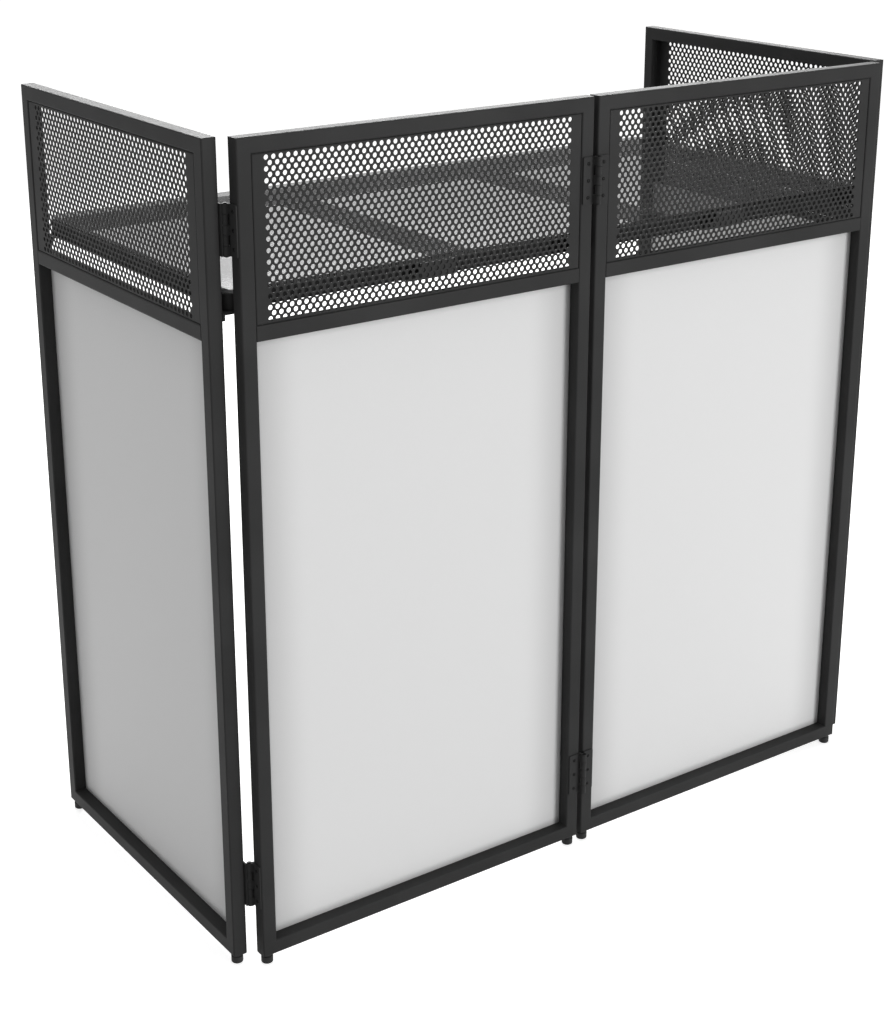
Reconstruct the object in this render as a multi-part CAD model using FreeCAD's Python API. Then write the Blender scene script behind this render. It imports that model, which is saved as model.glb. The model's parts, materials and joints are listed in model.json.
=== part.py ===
import FreeCAD, Part
import math
import os

from FreeCAD import Placement, Rotation, Vector

# A folding four-panel booth: two front panels, two wings and a lift-out table.
# Millimetres, +Z up. X runs along the front, Y runs from the front to the open back.
# The origin is on the floor, in the middle of the overall width and depth.

# Panel frames of welded square tube
PANEL_WIDTH = 529.5
WING_DEPTH = 507.0
PANEL_HEIGHT = 1085.0
TUBE = 20.0
TUBE_WALL = 1.5
TUBE_CORNER = 2.0
TUBE_CORNER_FACETS = 3
GRILLE_WINDOW = 205.0
FOLD_GAP = 7.0
CORNER_GAP = 12.0
WING_SETBACK = 3.4

# Perforated steel grilles, folded into shallow pans
GRILLE_SHEET = 1.2
GRILLE_RECESS = 0.8
GRILLE_FLANGE = 10.0
GRILLE_BEND = 2.0
GRILLE_SIDE_MARGIN = 16.0
GRILLE_END_MARGIN = 5.0
GRILLE_PITCH = 42.0
GRILLE_WEB = 12.0

# Cloth scrims and the flat ledge that carries each one
SCRIM_THICK = 1.2
SCRIM_CLEARANCE = 0.3
LEDGE_WIDTH = 12.0
LEDGE_THICK = 1.5

# Feet screwed into the bottom rails
FOOT_HEIGHT = 14.0
FOOT_RADIUS = 8.0
FOOT_COLLAR_RADIUS = 7.2
FOOT_COLLAR_HEIGHT = 4.0
FOOT_EDGE = 2.0
FOOT_STUD_RADIUS = 3.0
FOOT_STUD_LENGTH = 10.0
FOOT_STUD_CLEARANCE = 0.1
FOOT_SIDES = 12

# Butt hinges: five knuckles on one pin
LEAF_LENGTH = 63.0
FOLD_LEAF_WIDTH = 17.0
CORNER_LEAF_WIDTH = 15.0
LEAF_THICK = 2.0
LEAF_CORNER = 2.0
HINGE_LOW_INSET = 104.0
HINGE_HIGH_INSET = 109.0
FOLD_BARREL_RADIUS = 4.0
FOLD_BARREL_STAND = 7.0
CORNER_BARREL_RADIUS = 3.2
KNUCKLE_COUNT = 5
KNUCKLE_GAP = 0.4
PIN_RADIUS = 1.6
PIN_CLEARANCE = 0.05
PIN_HEAD_RADIUS = 2.6
PIN_HEAD_HEIGHT = 1.2
BARREL_SIDES = 8

# Screws that hold the hinge leaves
SCREW_HEAD_RADIUS = 2.6
SCREW_HEAD_HEIGHT = 1.0
SCREW_RADIUS = 1.5
SCREW_LENGTH = 5.0
SCREW_SPACING = 22.5
SCREW_SIDES = 6

# Table: a tube frame with rounded corner blocks, two cross bars and a plate
TABLE_ABOVE_RAIL = 42.0
TABLE_PLATE = 6.0
TABLE_CORNER = 18.0
TABLE_SIDE_GAP = 4.0
TABLE_FRONT_GAP = 8.0
TABLE_REAR_INSET = 2.0
CROSS_BAR_OFFSET = 175.0
REST_CLEARANCE = 0.3

# Brackets that carry the table: angles on the wings, stepped strips on the front grilles
WING_BRACKET_THICK = 3.0
WING_BRACKET_LEG = 10.0
WING_BRACKET_LEDGE = 24.0
FRONT_BRACKET_THICK = 2.0
FRONT_BRACKET_WIDTH = 54.0
FRONT_BRACKET_OFFSET = 250.0
FRONT_BRACKET_GRIP = 16.0
FRONT_BRACKET_STEP = 6.0

OVERRUN = 1.0

# Places worked out from the sizes above
FOLD_HALF = FOLD_GAP / 2
PANEL_END = FOLD_HALF + PANEL_WIDTH
WING_INNER = PANEL_END + CORNER_GAP
WING_OUTER = WING_INNER + TUBE
FRONT_REACH = FOLD_BARREL_STAND + FOLD_BARREL_RADIUS
DEPTH = FRONT_REACH + TUBE + WING_SETBACK + WING_DEPTH
FRONT_Y = FRONT_REACH - DEPTH / 2
BACK_Y = FRONT_Y + TUBE
WING_FRONT_Y = BACK_Y + WING_SETBACK
WING_REAR_Y = WING_FRONT_Y + WING_DEPTH
MID_RAIL_TOP = PANEL_HEIGHT - TUBE - GRILLE_WINDOW
MID_RAIL_BOTTOM = MID_RAIL_TOP - TUBE
SCRIM_FRONT = TUBE - LEDGE_THICK - SCRIM_CLEARANCE - SCRIM_THICK
HINGE_CENTRES = (HINGE_LOW_INSET, PANEL_HEIGHT - HINGE_HIGH_INSET)
TABLE_UNDERSIDE = MID_RAIL_TOP + TABLE_ABOVE_RAIL - TABLE_PLATE - TUBE
BRACKET_TOP = TABLE_UNDERSIDE - REST_CLEARANCE
GRILLE_BACK = GRILLE_RECESS + GRILLE_SHEET

os.makedirs("parts", exist_ok=True)


def export(name, shape):
    """Writes one named piece."""
    shape.exportStep("parts/" + name + ".step")
    print(name, "solids", len(shape.Solids), "volume", round(shape.Volume))


def box(low, high):
    """A block between two opposite corners."""
    size = high.sub(low)
    return Part.makeBox(size.x, size.y, size.z, low)


def prism(points, along):
    """A straight-sided outline pushed along a vector."""
    outline = Part.makePolygon(list(points) + [points[0]])
    return Part.Face(outline).extrude(along)


def ring(radius, sides, height):
    """Closed regular polygon about the Z axis."""
    corners = []
    for step in range(sides):
        turn = 2 * math.pi * step / sides
        corners.append(Vector(radius * math.cos(turn), radius * math.sin(turn), height))
    return Part.makePolygon(corners + [corners[0]])


def turned(stages, sides):
    """A faceted turning about Z: each stage has two heights and the radius at each of them."""
    whole = None
    for low, high, low_radius, high_radius in stages:
        rings = [ring(low_radius, sides, low), ring(high_radius, sides, high)]
        stage = Part.makeLoft(rings, True, True)
        whole = stage if whole is None else whole.fuse(stage)
    return whole.removeSplitter()


def around(radius, sides):
    """Corner radius of a polygon whose flats just clear a circle."""
    return radius / math.cos(math.pi / sides)


def rounded_square(side, corner):
    """Wire of a square with faceted round corners, low corner at the origin, in the XY plane."""
    points = []
    for quarter, (x, y) in enumerate([(1, 1), (0, 1), (0, 0), (1, 0)]):
        centre = Vector(corner + x * (side - 2 * corner), corner + y * (side - 2 * corner), 0)
        for step in range(TUBE_CORNER_FACETS + 1):
            turn = math.pi / 2 * (quarter + step / TUBE_CORNER_FACETS)
            points.append(centre + Vector(corner * math.cos(turn), corner * math.sin(turn), 0))
    return Part.makePolygon(points + [points[0]])


def square_tube(length):
    """Hollow square tube along +Z, low corner at the origin."""
    outer = rounded_square(TUBE, TUBE_CORNER)
    inside = TUBE - TUBE_WALL
    bore = Part.makePolygon(
        [
            Vector(TUBE_WALL, TUBE_WALL, 0),
            Vector(TUBE_WALL, inside, 0),
            Vector(inside, inside, 0),
            Vector(inside, TUBE_WALL, 0),
            Vector(TUBE_WALL, TUBE_WALL, 0),
        ]
    )
    return Part.Face([outer, bore]).extrude(Vector(0, 0, length))


def level_tube(length, start):
    """The same tube laid along +X, low corner at start."""
    tube = square_tube(length)
    tube.Placement = Placement(start, Rotation(Vector(0, 0, 1), Vector(1, 0, 0)))
    low = tube.BoundBox
    tube.translate(start.sub(Vector(low.XMin, low.YMin, low.ZMin)))
    return tube


def hex_hole(centre, radius):
    """Closed six-sided wire in the XZ plane."""
    corners = []
    for step in range(6):
        turn = math.radians(60 * step + 30)
        corners.append(centre + Vector(radius * math.cos(turn), 0, radius * math.sin(turn)))
    return Part.makePolygon(corners + [corners[0]])


# Panels, built flat: x along the width, y from the outer face inwards, z up from the frame's bottom


def frame_tubes(width):
    """Two uprights and two rails with mitred corners, and a mid rail between the uprights."""
    depth = Vector(0, TUBE, 0)
    shoulder = PANEL_HEIGHT - TUBE
    near = [Vector(0, 0, 0), Vector(TUBE, 0, TUBE), Vector(TUBE, 0, shoulder), Vector(0, 0, PANEL_HEIGHT)]
    far = [Vector(width - p.x, p.y, p.z) for p in near]
    low = [Vector(0, 0, 0), Vector(width, 0, 0), Vector(width - TUBE, 0, TUBE), Vector(TUBE, 0, TUBE)]
    high = [Vector(p.x, p.y, PANEL_HEIGHT - p.z) for p in low]
    upright = square_tube(PANEL_HEIGHT)
    far_upright = upright.copy()
    far_upright.translate(Vector(width - TUBE, 0, 0))
    bottom = level_tube(width, Vector(0, 0, 0)).common(prism(low, depth))
    hole_radius = around(FOOT_STUD_RADIUS + FOOT_STUD_CLEARANCE, FOOT_SIDES)
    for x in (TUBE / 2, width - TUBE / 2):
        hole = turned([(-OVERRUN, TUBE_WALL + OVERRUN, hole_radius, hole_radius)], FOOT_SIDES)
        hole.translate(Vector(x, TUBE / 2, 0))
        bottom = bottom.cut(hole)
    return {
        "near_upright": upright.common(prism(near, depth)),
        "far_upright": far_upright.common(prism(far, depth)),
        "bottom_rail": bottom,
        "mid_rail": level_tube(width - 2 * TUBE, Vector(TUBE, 0, MID_RAIL_BOTTOM)),
        "top_rail": level_tube(width, Vector(0, 0, PANEL_HEIGHT - TUBE)).common(prism(high, depth)),
    }


def grille(width):
    """Perforated pan that fills the upper window: a holed face with four flanges turned in."""
    left, right = TUBE, width - TUBE
    low, high = MID_RAIL_TOP, PANEL_HEIGHT - TUBE
    face_y = GRILLE_RECESS
    pan = box(Vector(left, face_y, low), Vector(right, face_y + GRILLE_FLANGE, high))
    front_edges = [e for e in pan.Edges if abs(e.BoundBox.YMax - face_y) < TUBE_WALL / 2]
    pan = pan.makeChamfer(GRILLE_BEND, front_edges)
    inner_low = Vector(left + GRILLE_SHEET, face_y, low + GRILLE_SHEET)
    inner_high = Vector(right - GRILLE_SHEET, face_y + GRILLE_FLANGE + OVERRUN, high - GRILLE_SHEET)
    flanges = pan.cut(box(inner_low, inner_high))

    hole_radius = (GRILLE_PITCH - GRILLE_WEB) / 2 / math.cos(math.radians(30))
    row_step = GRILLE_PITCH * math.sin(math.radians(60))
    room_x = right - left - 2 * GRILLE_SIDE_MARGIN - GRILLE_PITCH
    room_z = high - low - 2 * GRILLE_END_MARGIN - 2 * hole_radius
    columns = int(room_x // GRILLE_PITCH) + 1
    rows = int(room_z // row_step) + 1
    first = Vector(
        (left + right - (columns - 1) * GRILLE_PITCH) / 2,
        face_y,
        (low + high - (rows - 1) * row_step) / 2,
    )
    sheet = [
        Part.makePolygon(
            [
                Vector(inner_low.x, face_y, inner_low.z),
                Vector(inner_high.x, face_y, inner_low.z),
                Vector(inner_high.x, face_y, inner_high.z),
                Vector(inner_low.x, face_y, inner_high.z),
                Vector(inner_low.x, face_y, inner_low.z),
            ]
        )
    ]
    for row in range(rows):
        shift = GRILLE_PITCH / 2 if row % 2 else 0
        for column in range(columns - row % 2):
            place = first + Vector(column * GRILLE_PITCH + shift, 0, row * row_step)
            sheet.append(hex_hole(place, hole_radius))
    web = Part.Face(sheet).extrude(Vector(0, GRILLE_SHEET, 0))
    return flanges.fuse(web).removeSplitter()


def scrim_ledge(width):
    """Four flat bars welded round the back of the lower window."""
    y0, y1 = TUBE - LEDGE_THICK, TUBE
    left, right = TUBE, width - TUBE
    low, high = TUBE, MID_RAIL_BOTTOM
    bars = [
        box(Vector(left, y0, low), Vector(left + LEDGE_WIDTH, y1, high)),
        box(Vector(right - LEDGE_WIDTH, y0, low), Vector(right, y1, high)),
        box(Vector(left + LEDGE_WIDTH, y0, low), Vector(right - LEDGE_WIDTH, y1, low + LEDGE_WIDTH)),
        box(Vector(left + LEDGE_WIDTH, y0, high - LEDGE_WIDTH), Vector(right - LEDGE_WIDTH, y1, high)),
    ]
    return Part.makeCompound(bars)


def scrim(width):
    """Stretched cloth panel in the lower window, just in front of its ledge."""
    gap = Vector(SCRIM_CLEARANCE, 0, SCRIM_CLEARANCE)
    low = Vector(TUBE, SCRIM_FRONT, TUBE) + gap
    high = Vector(width - TUBE, SCRIM_FRONT + SCRIM_THICK, MID_RAIL_BOTTOM) - gap
    return box(low, high)


def foot():
    """Rubber pad with a rounded lower edge, a collar and a moulded-in stud."""
    edge_drop = FOOT_EDGE * math.sqrt(0.5)
    flat_radius = FOOT_RADIUS - FOOT_EDGE
    side_base = FOOT_EDGE - FOOT_HEIGHT
    bend = side_base - edge_drop
    stages = [
        (-FOOT_HEIGHT, bend, flat_radius, flat_radius + edge_drop),
        (bend, side_base, flat_radius + edge_drop, FOOT_RADIUS),
        (side_base, -FOOT_COLLAR_HEIGHT, FOOT_RADIUS, FOOT_RADIUS),
        (-FOOT_COLLAR_HEIGHT, 0, FOOT_COLLAR_RADIUS, FOOT_COLLAR_RADIUS),
        (0, FOOT_STUD_LENGTH, FOOT_STUD_RADIUS, FOOT_STUD_RADIUS),
    ]
    return turned(stages, FOOT_SIDES)


def feet(width):
    """One foot under each end of the bottom rail."""
    pair = []
    for x in (TUBE / 2, width - TUBE / 2):
        copy = foot()
        copy.translate(Vector(x, TUBE / 2, 0))
        pair.append(copy)
    return Part.makeCompound(pair)


def wing_bracket():
    """Angle centred on x: its leg hangs on y = 0 and its ledge's upper face is z = 0."""
    left = -TUBE / 2
    inner = WING_BRACKET_THICK
    profile = [
        Vector(left, 0, 0),
        Vector(left, WING_BRACKET_LEDGE, 0),
        Vector(left, WING_BRACKET_LEDGE, -inner),
        Vector(left, inner, -inner),
        Vector(left, inner, -WING_BRACKET_LEG),
        Vector(left, 0, -WING_BRACKET_LEG),
    ]
    return prism(profile, Vector(TUBE, 0, 0))


def front_bracket():
    """Folded strip centred on x: a leg on y = 0, a step back and a ledge whose upper face is z = 0."""
    left = -FRONT_BRACKET_WIDTH / 2
    inner = FRONT_BRACKET_THICK
    rail_front = TUBE + TABLE_FRONT_GAP - GRILLE_BACK
    drop = rail_front - REST_CLEARANCE
    reach = rail_front + FRONT_BRACKET_GRIP
    step = REST_CLEARANCE + FRONT_BRACKET_STEP
    top = REST_CLEARANCE + TUBE + TABLE_PLATE
    profile = [
        Vector(left, 0, step),
        Vector(left, drop - inner, step),
        Vector(left, drop - inner, -inner),
        Vector(left, reach, -inner),
        Vector(left, reach, 0),
        Vector(left, drop, 0),
        Vector(left, drop, step + inner),
        Vector(left, inner, step + inner),
        Vector(left, inner, top),
        Vector(left, 0, top),
    ]
    return prism(profile, Vector(FRONT_BRACKET_WIDTH, 0, 0))


# Hinges, built about their own pin: the pin stands on the origin, along Z


def knuckle_spans():
    """Height ranges of the knuckles, from the lowest to the highest."""
    step = (LEAF_LENGTH + KNUCKLE_GAP) / KNUCKLE_COUNT
    spans = []
    for index in range(KNUCKLE_COUNT):
        low = index * step - LEAF_LENGTH / 2
        spans.append((low, low + step - KNUCKLE_GAP))
    return spans


def hinge_leaf(barrel_radius, stand, plate_start, width, first_knuckle):
    """A leaf that runs along +X on the plane y = stand, with every second knuckle."""
    inner_face = stand - LEAF_THICK
    half = LEAF_LENGTH / 2
    plate_end = plate_start + width
    plate = box(Vector(plate_start, inner_face, -half), Vector(plate_end, stand, half))
    across = [e for e in plate.Edges if e.BoundBox.YLength > LEAF_THICK / 2]
    far_edges = [e for e in across if e.BoundBox.XMin > plate_start]
    leaf = plate.makeChamfer(LEAF_CORNER, far_edges)
    for low, high in knuckle_spans()[first_knuckle::2]:
        barrel = turned([(low, high, barrel_radius, barrel_radius)], BARREL_SIDES)
        tongue = box(Vector(0, inner_face, low), Vector(plate_start, stand, high))
        web = box(Vector(0, 0, low), Vector(barrel_radius, stand, high))
        leaf = leaf.fuse(barrel).fuse(tongue).fuse(web)
    bore_radius = around(PIN_RADIUS + PIN_CLEARANCE, BARREL_SIDES)
    bore = turned([(-half - OVERRUN, half + OVERRUN, bore_radius, bore_radius)], BARREL_SIDES)
    return leaf.cut(bore).removeSplitter()


def hinge_pin():
    """Round pin with a flat head on each end."""
    half = LEAF_LENGTH / 2
    stages = [
        (-half - PIN_HEAD_HEIGHT, -half, PIN_HEAD_RADIUS, PIN_HEAD_RADIUS),
        (-half, half, PIN_RADIUS, PIN_RADIUS),
        (half, half + PIN_HEAD_HEIGHT, PIN_HEAD_RADIUS, PIN_HEAD_RADIUS),
    ]
    return turned(stages, BARREL_SIDES)


def leaf_screws(stand, plate_start, width):
    """Three screws through a leaf, heads on the side that faces the pin."""
    stages = [
        (-SCREW_LENGTH, 0, SCREW_RADIUS, SCREW_RADIUS),
        (0, SCREW_HEAD_HEIGHT, SCREW_HEAD_RADIUS, SCREW_RADIUS),
    ]
    screws = []
    for step in (-1, 0, 1):
        screw = turned(stages, SCREW_SIDES)
        screw.rotate(Vector(0, 0, 0), Vector(1, 0, 0), 90)
        screw.translate(Vector(plate_start + width / 2, stand - LEAF_THICK, step * SCREW_SPACING))
        screws.append(screw)
    return screws


def placed_pairs(shapes, centre, turn):
    """Copies of shapes at the lower and the upper hinge of one fold line, turned about the pin."""
    copies = []
    for height in HINGE_CENTRES:
        for shape in shapes:
            copy = shape.copy()
            place = centre + Vector(0, 0, height + FOOT_HEIGHT)
            copy.Placement = Placement(place, Rotation(Vector(0, 0, 1), turn)).multiply(copy.Placement)
            copies.append(copy)
    return copies


# Where each panel stands: its own flat frame is turned about Z and moved
PANELS = {
    "front_left": (PANEL_WIDTH, Vector(-PANEL_END, FRONT_Y, FOOT_HEIGHT), 0, "outer", "fold"),
    "front_right": (PANEL_WIDTH, Vector(FOLD_HALF, FRONT_Y, FOOT_HEIGHT), 0, "fold", "outer"),
    "left_wing": (WING_DEPTH, Vector(-WING_OUTER, WING_REAR_Y, FOOT_HEIGHT), -90, "rear", "front"),
    "right_wing": (WING_DEPTH, Vector(WING_OUTER, WING_FRONT_Y, FOOT_HEIGHT), 90, "front", "rear"),
}


def in_panel(name, shape):
    """Moves a shape from a panel's flat frame to where the panel stands."""
    width, start, turn, near, far = PANELS[name]
    placed = shape.copy()
    placed.Placement = Placement(start, Rotation(Vector(0, 0, 1), turn)).multiply(placed.Placement)
    return placed


for panel, (width, start, turn, near, far) in PANELS.items():
    tube_names = {"near_upright": near + "_upright", "far_upright": far + "_upright"}
    for piece, tube in frame_tubes(width).items():
        export(panel + "_" + tube_names.get(piece, piece), in_panel(panel, tube))
    export(panel + "_grille", in_panel(panel, grille(width)))
    export(panel + "_scrim", in_panel(panel, scrim(width)))
    export(panel + "_scrim_ledge", in_panel(panel, scrim_ledge(width)))
    export(panel + "_feet", in_panel(panel, feet(width)))

# The fold between the front panels: pins stand in front of the gap, leaves lie on the front faces
fold_axis = Vector(0, FRONT_Y - FOLD_BARREL_STAND, 0)
fold_start = FOLD_BARREL_RADIUS + KNUCKLE_GAP
right_leaf = hinge_leaf(FOLD_BARREL_RADIUS, FOLD_BARREL_STAND, fold_start, FOLD_LEAF_WIDTH, 1)
left_leaf = hinge_leaf(FOLD_BARREL_RADIUS, FOLD_BARREL_STAND, fold_start, FOLD_LEAF_WIDTH, 0)
mirror_plane = (Vector(0, 0, 0), Vector(1, 0, 0))
fold_screws = leaf_screws(FOLD_BARREL_STAND, fold_start, FOLD_LEAF_WIDTH)
mirrored_screws = [s.mirror(*mirror_plane) for s in fold_screws]
left_leaf = left_leaf.mirror(*mirror_plane)
export("fold_hinge_left_leaves", Part.makeCompound(placed_pairs([left_leaf], fold_axis, 0)))
export("fold_hinge_right_leaves", Part.makeCompound(placed_pairs([right_leaf], fold_axis, 0)))
export("fold_hinge_pins", Part.makeCompound(placed_pairs([hinge_pin()], fold_axis, 0)))
screws = {
    "front_left": placed_pairs(mirrored_screws, fold_axis, 0),
    "front_right": placed_pairs(fold_screws, fold_axis, 0),
}

# The corner folds: pins stand in the corner gaps, one leaf forwards on the front panel's end
# and one leaf backwards on the wing's inner face
corner_stand = CORNER_GAP / 2
corner_start = max(WING_SETBACK, CORNER_BARREL_RADIUS)
front_leaf = hinge_leaf(CORNER_BARREL_RADIUS, corner_stand, corner_start, CORNER_LEAF_WIDTH, 0)
wing_leaf = hinge_leaf(CORNER_BARREL_RADIUS, corner_stand, corner_start, CORNER_LEAF_WIDTH, 1)
corner_screws = leaf_screws(corner_stand, corner_start, CORNER_LEAF_WIDTH)
for side, sign in (("left", -1), ("right", 1)):
    axis = Vector(sign * (PANEL_END + corner_stand), BACK_Y, 0)
    front_turn = -90 if sign < 0 else 90
    shapes = {"front": [front_leaf], "wing": [wing_leaf], "screw": corner_screws}
    if sign > 0:
        shapes = {key: [s.mirror(*mirror_plane) for s in group] for key, group in shapes.items()}
    export(side + "_hinge_front_leaves", Part.makeCompound(placed_pairs(shapes["front"], axis, front_turn)))
    export(side + "_hinge_wing_leaves", Part.makeCompound(placed_pairs(shapes["wing"], axis, -front_turn)))
    export(side + "_hinge_pins", Part.makeCompound(placed_pairs([hinge_pin()], axis, 0)))
    screws["front_" + side] += placed_pairs(shapes["screw"], axis, front_turn)
    screws[side + "_wing"] = placed_pairs(shapes["screw"], axis, -front_turn)
for panel, group in screws.items():
    export(panel + "_hinge_screws", Part.makeCompound(group))

# Brackets: two on each wing's uprights, legs down, and one on the back of each front grille, leg up
for panel in ("left_wing", "right_wing"):
    pair = []
    for x in (TUBE / 2, WING_DEPTH - TUBE / 2):
        copy = wing_bracket()
        copy.translate(Vector(x, TUBE, BRACKET_TOP))
        pair.append(in_panel(panel, copy))
    export(panel + "_table_brackets", Part.makeCompound(pair))
for panel, sign in (("front_left", -1), ("front_right", 1)):
    bracket = front_bracket()
    bracket.translate(
        Vector(sign * FRONT_BRACKET_OFFSET, FRONT_Y + GRILLE_BACK, BRACKET_TOP + FOOT_HEIGHT)
    )
    export(panel + "_table_bracket", bracket)

# Table frame and plate
table_half = WING_INNER - TABLE_SIDE_GAP
table_front = BACK_Y + TABLE_FRONT_GAP
table_rear = WING_REAR_Y - TABLE_REAR_INSET
rail_base = TABLE_UNDERSIDE + FOOT_HEIGHT
rail_top = rail_base + TUBE
long_rail = level_tube(2 * (table_half - TABLE_CORNER), Vector(TABLE_CORNER - table_half, 0, rail_base))
for name, y in (("table_front_rail", table_front), ("table_rear_rail", table_rear - TUBE)):
    rail = long_rail.copy()
    rail.translate(Vector(0, y, 0))
    export(name, rail)


def depth_rail(x, front, rear):
    """A tube along Y with its middle at x."""
    rail = level_tube(rear - front, Vector(0, 0, 0))
    rail.rotate(Vector(0, 0, 0), Vector(0, 0, 1), 90)
    rail.translate(Vector(x + TUBE / 2, front, rail_base))
    return rail


side_front = table_front + max(TABLE_CORNER, TUBE)
side_rear = table_rear - max(TABLE_CORNER, TUBE)
side_x = table_half - TUBE / 2
export("table_left_rail", depth_rail(-side_x, side_front, side_rear))
export("table_right_rail", depth_rail(side_x, side_front, side_rear))
bars = [depth_rail(sign * CROSS_BAR_OFFSET, table_front + TUBE, table_rear - TUBE) for sign in (-1, 1)]
export("table_cross_bars", Part.makeCompound(bars))


def rounded_slab(half, front, rear, corner, low, high):
    """A rectangle with round corners, pushed up from low to high."""
    slab = box(Vector(-half, front, low), Vector(half, rear, high))
    standing = [e for e in slab.Edges if e.BoundBox.ZLength > (high - low) / 2]
    return slab.makeFillet(corner, standing)


outline = rounded_slab(table_half, table_front, table_rear, TABLE_CORNER, rail_base, rail_top)
corner_blocks = []
for x in (-table_half, table_half - TABLE_CORNER):
    for y in (table_front, table_rear - TUBE):
        block = box(Vector(x, y, rail_base), Vector(x + TABLE_CORNER, y + TUBE, rail_top))
        corner_blocks.append(outline.common(block))
export("table_corner_blocks", Part.makeCompound(corner_blocks))
export(
    "table_plate",
    rounded_slab(table_half, table_front, table_rear, TABLE_CORNER, rail_top, rail_top + TABLE_PLATE),
)
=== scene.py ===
# %% [markdown]
# # A folding booth of steel frames, perforated sheet and stretch cloth
#
# The booth is four tube frames hinged in a row, with a table laid inside them. The measured solids
# are loaded first, and nothing here moves them. Each later cell dresses one kind of piece: it either
# gives a solid its finish, or makes a finer piece that stands exactly where the solid is.

# %% Load the measured solids
import json
import math

import bmesh
import bpy
from mathutils import Matrix, Vector


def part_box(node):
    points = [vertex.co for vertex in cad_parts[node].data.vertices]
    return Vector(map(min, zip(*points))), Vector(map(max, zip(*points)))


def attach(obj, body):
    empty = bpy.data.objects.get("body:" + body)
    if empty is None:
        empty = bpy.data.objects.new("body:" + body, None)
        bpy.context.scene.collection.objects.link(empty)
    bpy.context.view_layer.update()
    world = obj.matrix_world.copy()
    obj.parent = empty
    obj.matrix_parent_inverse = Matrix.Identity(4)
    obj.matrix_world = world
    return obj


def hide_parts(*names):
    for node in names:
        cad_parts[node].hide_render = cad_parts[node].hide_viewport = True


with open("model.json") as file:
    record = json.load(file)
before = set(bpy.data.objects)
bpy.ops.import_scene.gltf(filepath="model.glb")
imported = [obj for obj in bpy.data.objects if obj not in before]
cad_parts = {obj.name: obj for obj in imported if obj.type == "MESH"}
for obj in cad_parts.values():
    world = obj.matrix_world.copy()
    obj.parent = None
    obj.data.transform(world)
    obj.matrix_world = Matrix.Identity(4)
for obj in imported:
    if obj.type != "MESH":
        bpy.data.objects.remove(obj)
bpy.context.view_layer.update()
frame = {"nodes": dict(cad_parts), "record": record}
nodes = frame["nodes"]
MM = 0.001
PANELS = ("front_left", "front_right", "left_wing", "right_wing")

# %% [markdown]
# The camera looks down on the left front corner from about eye height. Its lens and place come from
# matching the frame's corners to the picture. A small downward shift of the lens keeps the uprights
# closer to parallel, as in product pictures, without pushing the object out of other views.

# %% Camera
IMAGE_HEIGHT_PX = 1024
FOCAL_PX = 1880.5
SENSOR_WIDTH_MM = 36.0
LENS_SHIFT = -0.1
CAMERA_PLACE = Vector((-1568.2, -2130.4, 1476.8)) * MM
CAMERA_YAW = 0.6173
CAMERA_PITCH = 0.3192

camera_data = bpy.data.cameras.new("camera")
camera_data.sensor_width = SENSOR_WIDTH_MM
camera_data.lens = SENSOR_WIDTH_MM * FOCAL_PX / IMAGE_HEIGHT_PX
camera_data.shift_y = LENS_SHIFT


def shown(name, data):
    """A new object with this data, in the scene."""
    made = bpy.data.objects.new(name, data)
    bpy.context.scene.collection.objects.link(made)
    return made


camera = shown("camera", camera_data)
camera.location = CAMERA_PLACE
camera.rotation_euler = (math.pi / 2 - CAMERA_PITCH, 0, -CAMERA_YAW)
bpy.context.scene.camera = camera
print("lens", round(camera_data.lens, 2), "mm")

# %% [markdown]
# The room is a white studio. The floor and the world look white to the camera and in reflections, but
# light the booth only softly, so that black steel and white cloth both keep their own colours. The
# floor also takes real light, so the booth's shadow stays on it.

# %% World
AMBIENT = 0.46
WHITE = (1, 1, 1, 1)


def white_to_the_eye(tree):
    """One for the rays to which the studio has to look white, and zero for the rest."""
    path = tree.nodes.new("ShaderNodeLightPath")
    white = path.outputs["Is Camera Ray"]
    for ray in ("Is Glossy Ray", "Is Transmission Ray"):
        either = tree.nodes.new("ShaderNodeMath")
        either.operation = "MAXIMUM"
        tree.links.new(white, either.inputs[0])
        tree.links.new(path.outputs[ray], either.inputs[1])
        white = either.outputs[0]
    return white


def studio_world():
    world = bpy.data.worlds.new("studio")
    world.use_nodes = True
    tree = world.node_tree
    seen = tree.nodes["Background"]
    seen.inputs["Color"].default_value = WHITE
    ambient = tree.nodes.new("ShaderNodeBackground")
    ambient.inputs["Color"].default_value = WHITE
    ambient.inputs["Strength"].default_value = AMBIENT
    mix = tree.nodes.new("ShaderNodeMixShader")
    tree.links.new(white_to_the_eye(tree), mix.inputs[0])
    tree.links.new(ambient.outputs[0], mix.inputs[1])
    tree.links.new(seen.outputs[0], mix.inputs[2])
    tree.links.new(mix.outputs[0], tree.nodes["World Output"].inputs["Surface"])
    bpy.context.scene.world = world


studio_world()
print("ambient", AMBIENT)

# %% Floor
FLOOR_SIZE = 40.0
FLOOR_GREY = 0.8
FLOOR_GLOW = 0.7


def studio_floor():
    mesh = bpy.data.meshes.new("floor")
    half = FLOOR_SIZE / 2
    corners = [(-half, -half, 0), (half, -half, 0), (half, half, 0), (-half, half, 0)]
    mesh.from_pydata(corners, [], [(0, 1, 2, 3)])
    material = bpy.data.materials.new("pale_floor")
    material.use_nodes = True
    tree = material.node_tree
    shader = tree.nodes["Principled BSDF"]
    shader.inputs["Base Color"].default_value = (FLOOR_GREY, FLOOR_GREY, FLOOR_GREY, 1)
    shader.inputs["Roughness"].default_value = 0.9
    shader.inputs["Specular IOR Level"].default_value = 0.0
    shader.inputs["Emission Color"].default_value = WHITE
    glow = tree.nodes.new("ShaderNodeMath")
    glow.operation = "MULTIPLY"
    glow.inputs[1].default_value = FLOOR_GLOW
    tree.links.new(white_to_the_eye(tree), glow.inputs[0])
    tree.links.new(glow.outputs[0], shader.inputs["Emission Strength"])
    mesh.materials.append(material)
    shown("floor", mesh)


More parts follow.
